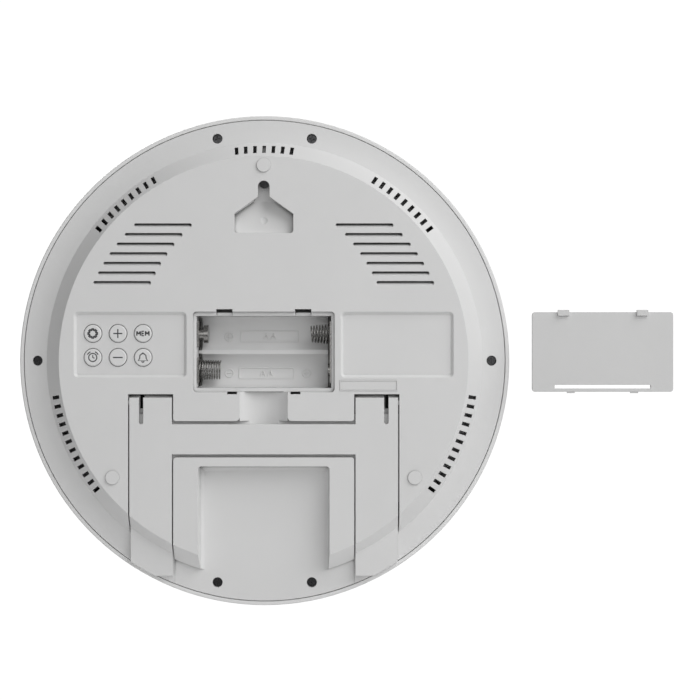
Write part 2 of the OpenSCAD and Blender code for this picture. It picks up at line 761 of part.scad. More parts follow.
module board_holes(r) {
    for (x = [-1, 1]) for (y = [-1, 1]) translate([x * board_screw[0], board_y + y * board_screw[1]]) circle(r = r);
}

module zebra_plan(gap = 0) {
    translate([0, glass[1] / 2 - 3.2]) square([glass[0] - 20 + 2 * gap, 2.4 + 2 * gap], center = true);
}

module display_holder() {
    over = reflector_z + reflector_t;
    outer = glass + 2 * [holder_w, holder_w];
    inner = glass + 2 * [glass_gap, glass_gap];
    color("dimgray") difference() {
        union() {
            // frame round the glass
            translate([0, 0, glass_z]) linear_extrude(height = holder_top - glass_z) difference() {
                rounded(outer, 5);
                square(inner, center = true);
            }
            // thin back, open where the battery bay comes down to it
            translate([0, 0, over]) linear_extrude(height = holder_t) difference() {
                rounded(outer, 5);
                translate([0, -10]) rounded([glass[0] - 24, glass[1] - 40], 4);
            }
            // rails under the main board
            translate([0, 0, holder_top - 0.1]) linear_extrude(height = board_z - holder_top + 0.1)
                translate([0, board_y]) difference() {
                    square(board_size + [2, 2], center = true);
                    square(board_size - [16, 10], center = true);
                }
            // ears on the bezel's four posts
            ear_places() translate([0, 0, ear_z]) linear_extrude(height = holder_top - ear_z) {
                circle(r = ear_r);
                translate([-ear_l, -ear_r]) square([ear_l, 2 * ear_r]);
            }
        }
        translate([0, 0, over - 4]) linear_extrude(height = 10) zebra_plan(0.15);
        translate([0, 0, glass_z - 1]) linear_extrude(height = over - glass_z + 1) square(inner, center = true);
        translate([0, 0, board_z - 4]) linear_extrude(height = 5) board_holes(small_screw_r + thread_gap);
        ear_places() translate([0, 0, ear_z - 1]) cylinder(r = small_screw_r + 0.15, h = 4);
    }
}

module zebra_strip() {
    color("pink") translate([0, 0, glass_z + glass_t])
        linear_extrude(height = board_z - glass_z - glass_t) zebra_plan();
}

module small_screw(l) {
    cylinder(r = small_screw_r, h = l);
    translate([0, 0, l]) difference() {
        cylinder(r = small_head_r, h = small_head_h);
        for (a = [0, 90]) rotate([0, 0, a]) translate([-1.2, -0.22, small_head_h - 0.6]) cube([2.4, 0.44, 1]);
    }
}

module main_board() {
    color("darkgreen") translate([0, 0, board_z]) linear_extrude(height = board_t) difference() {
        translate([0, board_y]) square(board_size, center = true);
        board_holes(small_screw_r + 0.15);
    }
}

module controller_chip() {
    top = board_z + board_t;
    color("black") translate([-24, board_y, top]) {
        cylinder(r = 7, h = 0.7);
        translate([0, 0, 0.7]) cylinder(r1 = 7, r2 = 4.5, h = 0.8);
    }
}

module quartz_crystal() {
    top = board_z + board_t;
    color("silver") {
        along_x(1.05, 8, 14.2, board_y - 3, top + 1.05);
        for (y = [-0.4, 0.4]) {
            along_x(0.2, 5.6, 8.2, board_y - 3 + y, top + 1.05);
            translate([5.7, board_y - 3 + y, top]) cylinder(r = 0.2, h = 1.25);
        }
    }
}

module board_capacitors() {
    top = board_z + board_t;
    color("navy") {
        for (x = [24, 32]) translate([x, board_y + 3, top]) cylinder(r = 2.5, h = 4.6);
        for (x = [-2, 1.5, 5]) translate([x, board_y + 6, top]) cube([1.2, 2, 0.8]);
    }
}

module board_screws() {
    color("silver") {
        for (x = [-1, 1]) for (y = [-1, 1])
            translate([x * board_screw[0], board_y + y * board_screw[1], board_z + board_t - 4.5]) small_screw(4.5);
        ear_places() translate([0, 0, 2.8]) small_screw(holder_top - 2.8);
        key_post_places() translate([0, 0, key_board_z]) rotate([180, 0, 0]) translate([0, 0, -4.5]) small_screw(4.5);
    }
}

module case_screws() {
    color("dimgray") screw_places() {
        translate([0, 0, screw_seat_z - screw_l]) cylinder(r = screw_shank_r, h = screw_l + 0.2);
        translate([0, 0, screw_seat_z]) difference() {
            cylinder(r = screw_head_r, h = screw_head_h);
            for (a = [0, 90]) rotate([0, 0, a]) translate([-1.3, -0.3, screw_head_h - 0.9]) cube([2.6, 0.6, 2]);
        }
    }
}

// ---- keys ----
module key_board() {
    color("darkgreen") translate([0, 0, key_board_z]) linear_extrude(height = key_board_t) difference() {
        translate(key_board_mid) square(key_board_size, center = true);
        key_post_places() circle(r = small_screw_r + 0.15);
    }
}

module key_switches() {
    low = key_board_z + key_board_t;
    color("black") key_places() {
        translate([-switch_size / 2, -switch_size / 2, low]) cube([switch_size, switch_size, 3.4]);
        translate([0, 0, low + 3.3]) cylinder(r = 1.7, h = switch_h - 3.3);
    }
}

module key_cap(col, row) {
    skin_z = panel_floor_z - wall;
    stem_z = key_board_z + key_board_t + switch_h + switch_gap;
    flange_z = skin_z - key_flange_gap - key_flange_t;
    crown = panel_floor_z + key_proud;
    color("whitesmoke") key_at(col, row) {
        translate([0, 0, flange_z + 0.1]) cylinder(r = key_r, h = crown - 0.4 - flange_z - 0.1);
        translate([0, 0, crown - 0.4]) cylinder(r1 = key_r, r2 = key_r - 0.4, h = 0.4);
        translate([0, 0, flange_z]) cylinder(r = key_flange_r, h = key_flange_t);
        translate([0, 0, stem_z]) cylinder(r = key_stem_r, h = flange_z - stem_z + 0.1);
    }
}

module key_settings() { key_cap(0, 0); }
module key_plus() { key_cap(1, 0); }
module key_memory() { key_cap(2, 0); }
module key_alarm_time() { key_cap(0, 1); }
module key_minus() { key_cap(1, 1); }
module key_alarm_bell() { key_cap(2, 1); }

module key_ribbon() {
    x = [key_board_mid[0] + 10, key_board_mid[0] + key_post[0] - 2.3];
    y = key_board_mid[1] + key_board_size[1] / 2;
    start = y - 2.5;
    end = board_y - board_size[1] / 2 + 3;
    low = board_z + board_t;
    high = key_board_z + key_board_t;
    color("lightgray") {
        block(x, [start, end], [high, high + 0.25]);
        block(x, [end - 0.25, end], [low, high + 0.1]);
        block(x, [end - 0.25, end + 3], [low, low + 0.25]);
    }
}

// ---- battery bay ----
module contact_plate(side, y, w) {
    x = side * contact_x + (side < 0 ? -contact_t : 0);
    low = bay_floor_z - bay_wall + 0.3;
    block([x, x + contact_t], [y - w / 2, y + w / 2], [low, cell_z + 5.6]);
}

module contact_tag(y) {
    block([-bay_l / 2 - 3.4, -contact_x - 0.1], [y - 1.5, y + 1.5], [tag_z, tag_z + contact_t]);
}

module contact_plus() {
    color("silver") {
        contact_plate(-1, row_y[0], 11.6);
        contact_tag(row_y[0]);
        along_x(nub_neck_r, -contact_x - 0.1, -contact_x + nub_neck_l, row_y[0], cell_z);
        along_x(nub_r, -contact_x + nub_neck_l - 0.1, -contact_x + nub_l, row_y[0], cell_z);
    }
}

module contact_minus() {
    color("silver") {
        contact_plate(-1, row_y[1], 11.6);
        contact_tag(row_y[1]);
    }
}

module contact_bridge() {
    color("silver") {
        contact_plate(1, bay_y, cell_pitch + 11.6);
        along_x(nub_neck_r, contact_x - 0.9, contact_x + 0.1, row_y[1], cell_z);
    }
}

// A conical coil of round wire, from radius r0 at the plate to r1 at its tip.
module coil(r0, r1, length, turns, thick) {
    per = 18;
    sides = 6;
    n = turns * per;
    points = [for (i = [0:n]) for (k = [0:sides - 1])
        let (a = i * 360 / per, r = r0 + (r1 - r0) * i / n + thick * cos(k * 360 / sides))
            [r * cos(a), r * sin(a), length * i / n + thick * sin(k * 360 / sides)]];
    ends = [[for (k = [0:sides - 1]) k], [for (k = [sides - 1:-1:0]) n * sides + k]];
    walls = [for (i = [0:n - 1]) for (k = [0:sides - 1])
        [i * sides + k, (i + 1) * sides + k, (i + 1) * sides + (k + 1) % sides, i * sides + (k + 1) % sides]];
    polyhedron(points = points, faces = concat(ends, walls));
}

module cell_spring(side, y, shape) {
    translate([side * (contact_x - spring_sink), y, cell_z]) rotate([0, -side * 90, 0])
        coil(shape[0], shape[1], shape[2], shape[3], 0.4);
}

module spring_left() { color("silver") cell_spring(-1, row_y[1], spring_straight); }
module spring_right() { color("silver") cell_spring(1, row_y[0], spring_cone); }

// A wire from a contact's tag to the main board, out by a distance from the tag's end.
module lead(y, end_x, out) {
    tag_end = -bay_l / 2 - bay_wall - 0.2;
    x = -bay_l / 2 - 3 - wire_r - out;
    z = tag_z + contact_t + wire_r;
    end_y = board_y - board_size[1] / 2 + 5;
    low = board_z + board_t;
    along_x(wire_r, x, tag_end, y, z);
    translate([x, y, z]) sphere(r = wire_r);
    translate([x, y, z]) rotate([-90, 0, 0]) cylinder(r = wire_r, h = end_y - y);
    translate([x, end_y, z]) sphere(r = wire_r);
    along_x(wire_r, min(x, end_x), max(x, end_x), end_y, z);
    translate([end_x, end_y, z]) sphere(r = wire_r);
    translate([end_x, end_y, low]) cylinder(r = wire_r, h = z - low);
}

module lead_plus() { color("red") lead(row_y[0], -30, 0.4); }
module lead_minus() { color("black") lead(row_y[1], -43, 2.4); }

module battery_cover() {
    half = cover_size / 2;
    color("whitesmoke") translate([cover_off, 0, 2 * cover_pivot_z]) rotate([0, 180, 0])
        translate([0, bay_y, 0]) {
            translate([0, 0, lid_z]) linear_extrude(height = cover_t) difference() {
                rounded(cover_size, seat_r - cover_gap);
                translate([0, -half[1] + strip_h + strip_gap / 2]) square([strip_l, strip_gap], center = true);
            }
            both_sides() {
                block([tab_x / 2 - tab_w / 2, tab_x / 2 + tab_w / 2], [bay_h / 2, half[1] + tab_out],
                    [lid_z - tab_t, lid_z + 0.3]);
                block([latch_x / 2 - latch_w / 2, latch_x / 2 + latch_w / 2], [-half[1] - latch_out, -half[1] + 0.4],
                    [lid_z + 0.2, lid_z + 1.1]);
            }
        }
}

// ---- sound and climate ----
module buzzer_case() {
    low = louver_z - buzzer_h;
    color("black") translate([buzzer_pos[0], buzzer_pos[1], low]) difference() {
        cylinder(r = buzzer_r, h = buzzer_h);
        translate([0, 0, 1]) cylinder(r = buzzer_r - 1.8, h = buzzer_h);
        translate([0, 0, 2.4]) cylinder(r = piezo_r + 0.05, h = buzzer_h);
        for (x = [-3, 3]) translate([x, 0, -1]) cylinder(r = 0.8, h = 3);
    }
}

module piezo_disc() {
    low = louver_z - buzzer_h + 2.4;
    color("gold") translate([buzzer_pos[0], buzzer_pos[1], low]) {
        cylinder(r = piezo_r, h = 0.3);
        translate([0, 0, 0.3]) cylinder(r = piezo_r - 4, h = 0.2);
    }
}

module buzzer_leads() {
    top = louver_z - buzzer_h + 2.4;
    z = board_z + board_t;
    color("red") for (x = [-3, 3]) translate([buzzer_pos[0] + x, buzzer_pos[1], 0]) {
        translate([0, 0, z + 3]) cylinder(r = 0.5, h = top - z - 3);
        translate([0, 0, z + 3]) sphere(r = 0.5);
        along_x(0.5, -16, 0, 0, z + 3);
        translate([-16, 0, z + 3]) sphere(r = 0.5);
        translate([-16, 0, z]) cylinder(r = 0.5, h = 3);
    }
}

module climate_sensor() {
    color("darkgreen") block([sensor_pos[0] - sensor_size[0] / 2, sensor_pos[0] + sensor_size[0] / 2],
        [sensor_pos[1] - sensor_size[1] / 2, sensor_pos[1] + sensor_size[1] / 2], [sensor_z, sensor_z + 1]);
    color("white") translate([sensor_pos[0] - 2.5, sensor_pos[1] - 2.5, sensor_z - 1.5]) cube([5, 5, 1.6]);
}

module sensor_ribbon() {
    x = [sensor_pos[0] - 2.5, sensor_pos[0] + 2.5];
    bend = board_y - 4;
    edge = board_size[0] / 2 - 4;
    start = sensor_pos[1] + sensor_size[1] / 2 - 1;
    low = board_z + board_t;
    color("lightgray") {
        block(x, [start, bend], [sensor_z - 0.2, sensor_z]);
        block([edge, x[1]], [bend - 5, bend], [sensor_z - 0.2, sensor_z]);
        block([edge, edge + 0.2], [bend - 5, bend], [low, sensor_z]);
        block([edge - 3, edge + 0.2], [bend - 5, bend], [low, low + 0.2]);
    }
}

// ---- stand ----

module stand() {
    color("gainsboro") {
        intersection() {
            translate([0, 0, foot_z - 6]) linear_extrude(height = bevel_h + 12) difference() {
                stand_plan();
                // slit that lets the outer tongue flex when the pin is pressed in
                both_sides() {
                    translate([leg_out - tongue_w - slit_w, bar_top_y + slit_w / 2]) square([slit_w, 30]);
                    translate([leg_out - tongue_w - slit_w / 2, bar_top_y + slit_w / 2]) circle(r = slit_w / 2);
                }
            }
            turned([[0, stand_z], [step_r + slope_gap, stand_z], [step_r + step_w + slope_gap, foot_z + tip_gap],
                [bevel_r, foot_z + tip_gap], [leg_end_r, rim_z + tip_gap + 0.05],
                [leg_end_r, leg_low_z - 0.3], [face_r + leg_bevel, leg_low_z], [face_r, face_z], [0, face_z]]);
        }
        both_sides() {
            // heel that meets the floor of its well when the stand is open
            block([leg_in, leg_out - tongue_w - slit_w], [pivot_y - 0.6, leg_top_y],
                [pivot_z - heel_d, stand_z + 0.2]);
            block([leg_out - tongue_w, leg_out], [pivot_y - 0.6, leg_top_y], [pivot_z - heel_d, stand_z + 0.2]);
            along_x(pin_r, leg_out - tongue_w, leg_out + leg_gap + pin_l - 0.1, pivot_y, pivot_z);
        }
    }
}

hung() front_bezel();
hung() lens();
hung() lens_tape();
hung() display_mask();
hung() lcd_panel();
hung() lcd_reflector();
hung() display_holder();
hung() zebra_strip();
hung() main_board();
hung() controller_chip();
hung() quartz_crystal();
hung() board_capacitors();
hung() board_screws();
hung() back_cover();
hung() case_screws();
hung() key_board();
hung() key_switches();
hung() key_settings();
hung() key_plus();
hung() key_memory();
hung() key_alarm_time();
hung() key_minus();
hung() key_alarm_bell();
hung() key_ribbon();
hung() battery_cover();
hung() contact_plus();
hung() contact_minus();
hung() contact_bridge();
hung() spring_left();
hung() spring_right();
hung() lead_plus();
hung() lead_minus();
hung() buzzer_case();
hung() piezo_disc();
hung() buzzer_leads();
hung() climate_sensor();
hung() sensor_ribbon();
hung() stand();
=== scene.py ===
"""Looks for the round digital clock: materials, key legends, display, springs, light and camera."""
import json
import math

import bpy
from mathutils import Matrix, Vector

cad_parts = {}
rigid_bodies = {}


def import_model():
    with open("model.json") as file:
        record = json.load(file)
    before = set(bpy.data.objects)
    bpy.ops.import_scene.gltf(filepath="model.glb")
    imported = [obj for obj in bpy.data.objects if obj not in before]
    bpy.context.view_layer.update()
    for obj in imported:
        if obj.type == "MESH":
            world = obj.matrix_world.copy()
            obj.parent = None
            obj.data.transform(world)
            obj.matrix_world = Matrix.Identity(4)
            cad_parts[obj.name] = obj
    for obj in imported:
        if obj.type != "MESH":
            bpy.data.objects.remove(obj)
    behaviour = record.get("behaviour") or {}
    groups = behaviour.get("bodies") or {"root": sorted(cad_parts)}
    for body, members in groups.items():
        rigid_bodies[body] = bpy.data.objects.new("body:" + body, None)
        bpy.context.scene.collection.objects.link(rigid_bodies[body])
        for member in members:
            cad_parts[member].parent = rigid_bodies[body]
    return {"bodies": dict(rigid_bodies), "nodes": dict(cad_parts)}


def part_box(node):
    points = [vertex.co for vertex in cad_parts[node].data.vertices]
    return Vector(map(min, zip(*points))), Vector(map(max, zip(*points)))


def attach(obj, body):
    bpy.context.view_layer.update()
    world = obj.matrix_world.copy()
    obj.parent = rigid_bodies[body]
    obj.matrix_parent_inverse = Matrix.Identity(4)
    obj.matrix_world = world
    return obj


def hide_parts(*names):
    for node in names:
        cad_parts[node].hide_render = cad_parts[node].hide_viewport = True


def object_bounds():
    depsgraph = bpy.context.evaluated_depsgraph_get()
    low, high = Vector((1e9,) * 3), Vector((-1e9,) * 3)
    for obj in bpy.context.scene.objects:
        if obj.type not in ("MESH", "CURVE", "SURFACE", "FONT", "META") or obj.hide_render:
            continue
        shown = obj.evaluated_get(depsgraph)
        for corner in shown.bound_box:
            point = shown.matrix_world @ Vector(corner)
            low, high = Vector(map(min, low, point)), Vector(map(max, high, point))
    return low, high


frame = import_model()
CAD_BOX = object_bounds()
MM = 0.001


# ---- places, all taken from the frame ----

def middle(node):
    low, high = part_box(node)
    return Vector([(a + b) / 2 for a, b in zip(low, high)])


def back_of(node):
    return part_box(node)[1][1]


def front_of(node):
    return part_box(node)[0][1]


CASE = middle("front_bezel")


# ---- materials ----

class Surface:
    """A Principled material with helpers that add nodes to it."""

    def __init__(self, name, color, roughness=0.5, **constants):
        self.material = bpy.data.materials.new(name)
        self.material.use_nodes = True
        self.tree = self.material.node_tree
        self.shader = self.tree.nodes["Principled BSDF"]
        self.color = color
        self.roughness = roughness
        self.shader.inputs["Base Color"].default_value = (*color, 1)
        self.shader.inputs["Roughness"].default_value = roughness
        for socket, value in constants.items():
            self.shader.inputs[socket.replace("_", " ")].default_value = value
        self.normal = None
        self.place = self.node("ShaderNodeTexCoord").outputs["Object"]

    def node(self, kind, **settings):
        made = self.tree.nodes.new(kind)
        for key, value in settings.items():
            setattr(made, key, value)
        return made

    def link(self, a, b):
        self.tree.links.new(a, b)

    def noise(self, size, detail=2.0, stretch=(1, 1, 1), rough=0.5):
        """Noise whose blobs are about size metres across."""
        mapping = self.node("ShaderNodeMapping")
        mapping.inputs["Scale"].default_value = [s / size for s in stretch]
        self.link(self.place, mapping.inputs["Vector"])
        noise = self.node("ShaderNodeTexNoise")
        noise.inputs["Scale"].default_value = 1.0
        noise.inputs["Detail"].default_value = detail
        noise.inputs["Roughness"].default_value = rough
        self.link(mapping.outputs["Vector"], noise.inputs["Vector"])
        return noise.outputs["Fac"]

    def spread(self, value, low, high):
        ramp = self.node("ShaderNodeMapRange")
        ramp.inputs["From Min"].default_value = 0.3
        ramp.inputs["From Max"].default_value = 0.7
        ramp.inputs["To Min"].default_value = low
        ramp.inputs["To Max"].default_value = high
        self.link(value, ramp.inputs["Value"])
        return ramp.outputs["Result"]

    def tint(self, value, darker):
        """Vary the base colour between itself and a darker or lighter share of itself."""
        mix = self.node("ShaderNodeMix", data_type="RGBA")
        mix.inputs["A"].default_value = (*self.color, 1)
        mix.inputs["B"].default_value = (*[c * darker for c in self.color], 1)
        self.link(self.spread(value, 0.0, 1.0), mix.inputs["Factor"])
        self.link(mix.outputs["Result"], self.shader.inputs["Base Color"])
        return self

    def gloss(self, value, change):
        self.link(self.spread(value, self.roughness - change, self.roughness + change),
                  self.shader.inputs["Roughness"])
        return self

    def paint_shade_in_slits(self, reach, shut, unshut, darkest):
        """Paint shade into the base colour where walls within reach shut a point in: fully at the openness
        shut, not at all at unshut.
        """
        hollow = self.node("ShaderNodeAmbientOcclusion", samples=8, only_local=True)
        hollow.inputs["Distance"].default_value = reach
        ramp = self.node("ShaderNodeMapRange")
        ramp.inputs["From Min"].default_value = shut
        ramp.inputs["From Max"].default_value = unshut
        ramp.inputs["To Min"].default_value = darkest
        ramp.inputs["To Max"].default_value = 1.0
        self.link(hollow.outputs["AO"], ramp.inputs["Value"])
        # painted shade: the base colour is multiplied by the darkening
        mix = self.node("ShaderNodeMix", data_type="RGBA", blend_type="MULTIPLY")
        mix.inputs["Factor"].default_value = 1.0
        self.link(self.shader.inputs["Base Color"].links[0].from_socket, mix.inputs["A"])
        self.link(ramp.outputs["Result"], mix.inputs["B"])
        self.link(mix.outputs["Result"], self.shader.inputs["Base Color"])
        return self

    def soft_edges(self, radius):
        bevel = self.node("ShaderNodeBevel", samples=6)
        bevel.inputs["Radius"].default_value = radius
        self.normal = bevel.outputs["Normal"]
        self.link(self.normal, self.shader.inputs["Normal"])
        return self

    def bump(self, value, height):
        bump = self.node("ShaderNodeBump")
        bump.inputs["Strength"].default_value = 1.0
        bump.inputs["Distance"].default_value = height
        self.link(value, bump.inputs["Height"])
        if self.normal is not None:
            self.link(self.normal, bump.inputs["Normal"])
        self.normal = bump.outputs["Normal"]
        self.link(self.normal, self.shader.inputs["Normal"])
        return self


# painted shade in slits, gaps and creases: reach, openness where fully dark, openness where not darkened,
# share of the colour left
DEEP_SLIT_SHADE_PAINT = (8 * MM, 0.1, 0.5, 0.08)
CREASE_SHADE_PAINT = (1.6 * MM, 0.5, 0.85, 0.72)


def moulded(name, color, roughness=0.5, grain=0.45 * MM, depth=0.02 * MM, edge=0.35 * MM, with_painted_shade=False):
    """Spark-grained moulded plastic: fine bump, faint clouding, soft edges, and if asked painted shade in
    slits, gaps and creases.
    """
    s = Surface(name, color, roughness, IOR=1.46, Specular_IOR_Level=0.35)
    s.soft_edges(edge)
    s.tint(s.noise(35 * MM, 3.0), 0.975)
    # painted shade: the colour darkens in slits, gaps and creases, where little light reaches
    if with_painted_shade:
        s.paint_shade_in_slits(*DEEP_SLIT_SHADE_PAINT)
        s.paint_shade_in_slits(*CREASE_SHADE_PAINT)
    s.gloss(s.noise(9 * MM, 4.0), 0.05)
    s.bump(s.noise(60 * MM, 1.0), 0.03 * MM)
    s.bump(s.noise(grain, 3.0, rough=0.6), depth)
    return s.material


def metal(name, color, roughness, stretch=(1, 1, 1)):
    s = Surface(name, color, roughness, Metallic=1.0)
    s.soft_edges(0.08 * MM)
    s.tint(s.noise(2.5 * MM, 3.0), 0.82)
    s.gloss(s.noise(0.9 * MM, 3.0, stretch), 0.09)
    s.bump(s.noise(0.35 * MM, 2.0, stretch), 0.008 * MM)
    return s.material


def rubber(name, color, roughness=0.75, scale=0.5 * MM):
    s = Surface(name, color, roughness)
    s.tint(s.noise(3 * MM, 2.0), 0.85)
    s.bump(s.noise(scale, 3.0), 0.02 * MM)
    return s.material


def circuit_board():
    """Solder mask over copper: darker bare laminate between paler copper areas."""
    s = Surface("circuit_board_mask", (0.025, 0.16, 0.06), 0.32, IOR=1.5)
    copper = s.noise(5 * MM, 0.0, (1, 1, 0.25))
    s.tint(copper, 0.55)
    s.soft_edges(0.1 * MM)
    s.bump(copper, 0.03 * MM)
    s.gloss(s.noise(2 * MM, 2.0), 0.06)
    return s.material


def clear(name, color, roughness, ior):
    s = Surface(name, color, roughness, IOR=ior, Transmission_Weight=1.0)
    s.bump(s.noise(45 * MM, 1.0), 0.004 * MM)
    s.gloss(s.noise(20 * MM, 3.0), 0.01)
    return s.material


def display_glass():
    """Liquid crystal glass with its polariser: pale grey-green, faintly mottled."""
    s = Surface("display_polariser", (0.50, 0.56, 0.49), 0.22,
                IOR=1.5, Coat_Weight=0.4, Coat_Roughness=0.08)
    s.tint(s.noise(40 * MM, 2.0), 0.94)
    s.bump(s.noise(0.25 * MM, 1.0), 0.003 * MM)
    s.gloss(s.noise(15 * MM, 2.0), 0.03)
    return s.material


def printed_film(name, color, roughness, metallic=0.0):
    s = Surface(name, color, roughness, Metallic=metallic)
    s.tint(s.noise(0.3 * MM, 2.0), 0.9)
    s.gloss(s.noise(6 * MM, 2.0), 0.04)
    s.bump(s.noise(0.5 * MM, 1.0), 0.006 * MM)
    return s.material


SHELL = (0.735, 0.735, 0.733)
FINISH = {
    # the case plastic carries painted shade in its slits, gaps and creases
    "back_cover": moulded("case_plastic_grain_shade_painted", SHELL, with_painted_shade=True),
    "front_bezel": moulded("bezel_plastic_grain", (0.80, 0.80, 0.797), 0.46, edge=0.5 * MM),
    "stand": moulded("stand_plastic_grain", SHELL),
    "battery_cover": moulded("cover_plastic_grain", (0.67, 0.67, 0.668), edge=0.3 * MM),
    "key": moulded("key_plastic", (0.755, 0.755, 0.753), 0.38, 0.3 * MM, 0.008 * MM, 0.25 * MM),
    "dark": moulded("dark_plastic_grain", (0.022, 0.022, 0.024), 0.45),
    "lens": clear("lens_acrylic", (1.0, 1.0, 1.0), 0.02, 1.45),
    "tape": rubber("tape_foam", (0.015, 0.015, 0.015)),
    "mask": printed_film("mask_print", (0.56, 0.57, 0.58), 0.38, 0.25),
    "glass": display_glass(),
    "film": printed_film("diffuser_film", (0.8, 0.8, 0.78), 0.6),
    "zebra": rubber("zebra_rubber", (0.75, 0.35, 0.4), 0.6, 0.2 * MM),
    "board": circuit_board(),
    "epoxy": rubber("resin_drop", (0.012, 0.012, 0.012), 0.25, 2 * MM),
    "bright": metal("plated_metal", (0.72, 0.72, 0.73), 0.24),
    "screw": metal("blackened_steel", (0.055, 0.055, 0.057), 0.3),
    # painted shade: the nickel plating is coloured dark grey for the shade it lies in within the battery
    # bay
    "spring": metal("nickel_plate_shade_painted", (0.29, 0.285, 0.275), 0.27, (1, 6, 1)),
    "sleeve": printed_film("capacitor_sleeve_print", (0.02, 0.03, 0.12), 0.3),
    "ribbon": printed_film("ribbon_film_print", (0.55, 0.56, 0.58), 0.5),
    "red": rubber("red_insulation", (0.5, 0.02, 0.015), 0.4, 1 * MM),
    "black": rubber("black_insulation", (0.012, 0.012, 0.012), 0.4, 1 * MM),
    "brass": metal("piezo_brass", (0.72, 0.52, 0.22), 0.3),
    "ink": printed_film("legend_ink", (0.045, 0.046, 0.05), 0.5),
    "segment": printed_film("segment_ink", (0.012, 0.014, 0.016), 0.35),
}
WEARS = {
    "lens": "lens", "lens_tape": "tape", "display_mask": "mask", "lcd_panel": "glass",
    "lcd_reflector": "film", "display_holder": "dark", "zebra_strip": "zebra", "main_board": "board",
    "key_board": "board", "climate_sensor": "board", "controller_chip": "epoxy",
    "quartz_crystal": "bright", "board_screws": "bright", "board_capacitors": "sleeve",
    "case_screws": "screw", "key_switches": "dark", "key_ribbon": "ribbon", "sensor_ribbon": "ribbon",
    "contact_plus": "spring", "contact_minus": "spring", "contact_bridge": "spring",
    "spring_left": "spring", "spring_right": "spring", "lead_plus": "red", "lead_minus": "black",
    "buzzer_case": "dark", "piezo_disc": "brass", "buzzer_leads": "red",
}
KEYS = [name for name in frame["nodes"] if name.startswith("key_") and name in frame["bodies"]]


def dress(node, finish):
    data = frame["nodes"][node].data
    data.materials.clear()
    data.materials.append(finish)


for node in frame["nodes"]:
    dress(node, FINISH["key" if node in KEYS else WEARS.get(node, node)])


# ---- pieces made from strokes ----

def circle(cx, cy, r, start=0.0, end=360.0, n=28):
    """Circle, or the arc from start to end in degrees, as n straight lines."""
    return [(cx + r * math.cos(math.radians(start + (end - start) * i / n)),
             cy + r * math.sin(math.radians(start + (end - start) * i / n))) for i in range(n + 1)]


def stroked(name, strokes, to_row, width, height, finish, body):
    """Rounded lines of ink or relief: strokes are lists of (right, up) in mm, closed if the ends meet."""
    curve = bpy.data.curves.new(name, "CURVE")
    curve.dimensions = "3D"
    curve.bevel_depth = width / 2
    curve.bevel_resolution = 3
    curve.use_fill_caps = True
    for points in strokes:
        closed = math.dist(points[0], points[-1]) < 1e-6
        points = points[:-1] if closed else points
        spline = curve.splines.new("POLY")
        spline.points.add(len(points) - 1)
        for p, (u, v) in zip(spline.points, points):
            p.co = (u * MM, v * MM, 0, 1)
        spline.use_cyclic_u = closed
    shaped = bpy.data.objects.new(name + "_curve", curve)
    bpy.context.collection.objects.link(shaped)
    bpy.context.view_layer.update()
    mesh = bpy.data.meshes.new_from_object(shaped.evaluated_get(bpy.context.evaluated_depsgraph_get()))
    bpy.data.objects.remove(shaped)
    for vertex in mesh.vertices:
        lift = vertex.co.z / (width / 2) * height
        vertex.co = to_row(vertex.co.x, vertex.co.y, lift)
    for face in mesh.polygons:
        face.use_smooth = True
    piece = bpy.data.objects.new(name, mesh)
    bpy.context.collection.objects.link(piece)
    piece.data.materials.clear()
    piece.data.materials.append(finish)
    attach(piece, body)
    return piece


def on_back(centre, y):
    """Maps right, up and outward, as seen from behind, to the row at height y."""
    return lambda u, v, lift: Vector((centre.x - u, y + lift, centre.z + v))


def gear_outline(teeth, r_out, r_in):
    """Outline of a gear: each tooth is 18 degrees wide at its top and 30 at its foot."""
    points = []
    for i in range(teeth):
        a = 360 / teeth * i
        for turn, r in ((-15, r_in), (-9, r_out), (9, r_out), (15, r_in)):
            points.append((r * math.cos(math.radians(a + turn)), r * math.sin(math.radians(a + turn))))
    return points + points[:1]


def letters_mem():
    """The letters MEM. Each M is four strokes, since a stroke gets thin in a sharp bend."""
    def letter_m(x):
        points = [(x, -1.0), (x, 1.0), (x + 0.8, -0.3), (x + 1.6, 1.0), (x + 1.6, -1.0)]
        return [[a, b] for a, b in zip(points, points[1:])]
    letter_e = [[(0.5, 1.0), (-0.45, 1.0), (-0.45, -1.0), (0.5, -1.0)], [(-0.45, 0), (0.4, 0)]]
    return letter_m(-2.75) + letter_e + letter_m(1.15)


def alarm_clock():
    """Dial, two hands and two bells."""
    bells = [circle(0, 0, 2.75, 90 + s * 22, 90 + s * 62, 6) for s in (-1, 1)]
    return [circle(0, 0, 1.85), [(0, 1.1), (0, 0), (0.8, -0.35)]] + bells


def bell():
    """Bell with its clapper below and its loop above."""
    side = [(0.5, 1.7), (1.35, 0.95), (1.5, -0.55), (2.2, -1.45)]
    outline = [(-x, y) for x, y in reversed(side)] + side
    return [outline + outline[:1], circle(0, -1.6, 0.55, 190, 350, 6), [(0, 1.75), (0, 2.3)]]


# key: strokes of its legend, and the strokes' width
LEGENDS = {
    "key_settings": ([gear_outline(8, 2.1, 1.6)], 0.9),
    "key_plus": ([[(-2.05, 0), (2.05, 0)], [(0, -2.05), (0, 2.05)]], 0.55),
    "key_memory": (letters_mem(), 0.6),
    "key_alarm_time": (alarm_clock(), 0.5),
    "key_minus": ([[(-2.2, 0), (2.2, 0)]], 0.55),
    "key_alarm_bell": (bell(), 0.5),
}
for key, (strokes, width) in LEGENDS.items():
    stroked("legend_" + key, strokes, on_back(middle(key), back_of(key)), width * MM, 0.03 * MM,
            FINISH["ink"], key)


# ---- raised cell marks on the floors of the battery troughs ----

TROUGH_R = 7.9 * MM
MARK_W = 0.55 * MM
MARK_H = 0.4 * MM


